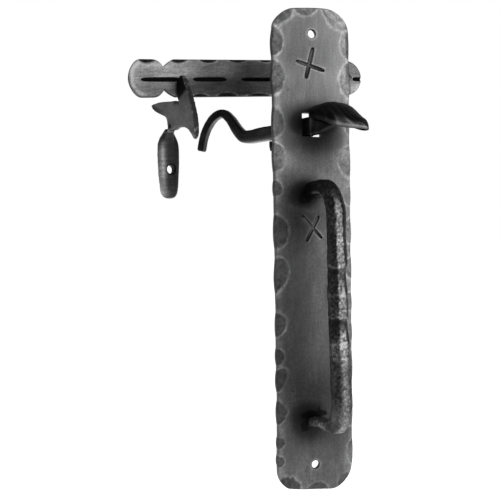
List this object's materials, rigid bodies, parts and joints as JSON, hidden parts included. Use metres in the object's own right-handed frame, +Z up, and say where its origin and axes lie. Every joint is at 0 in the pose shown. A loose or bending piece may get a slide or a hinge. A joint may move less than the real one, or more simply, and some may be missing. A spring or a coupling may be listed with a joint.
{
  "type": "stair gate latch",
  "caption": "Hand-forged iron thumb latch with a long scalloped backplate, bow handle, rocking thumb lever, pivoting latch bar and a notched keeper.",
  "frame": {"origin": "middle of the backplate's back face, where it lies on the gate", "axes": "+X along the latch bar towards its pivot, +Y into the gate, away from the hand, +Z up along the backplate"},
  "size_m": [0.1641, 0.1253, 0.3],
  "materials": {
    "plate_iron": "dark forged iron, brushed on its face, black in the hammered dents",
    "grip_iron": "black forged iron with pitted, worn facets",
    "lever_iron": "black forged iron, satin",
    "bar_iron": "dark forged iron, brushed, with black chiselled dashes",
    "keeper_iron": "dark forged iron, half brushed",
    "screw_iron": "black forged iron"
  },
  "bodies": {
    "root": {"backplate": "plate_iron", "pull_handle": "grip_iron", "pivot_screw": "screw_iron", "pivot_spacer": "screw_iron", "keeper": "keeper_iron"},
    "lever": {"lever_shank": "lever_iron", "thumb_pad": "lever_iron", "stop_peg": "lever_iron"},
    "bar": {"latch_bar": "bar_iron"}
  },
  "joints": [
    {"name": "thumb_press", "type": "hinge", "parent": "root", "child": "lever", "pos_m": [-0.0005, -0.002, 0.0717], "axis": [0.766, 0.6428, 0], "range_deg": [0, 17]},
    {"name": "bar_lift", "type": "hinge", "parent": "root", "child": "bar", "pos_m": [0.0435, 0.04575, 0.1201], "axis": [0, 1, 0], "range_deg": [0, 8]}
  ],
  "couplings": [
    {"joint": "bar_lift", "follows": "thumb_press", "ratio": 0.47059}
  ]
}
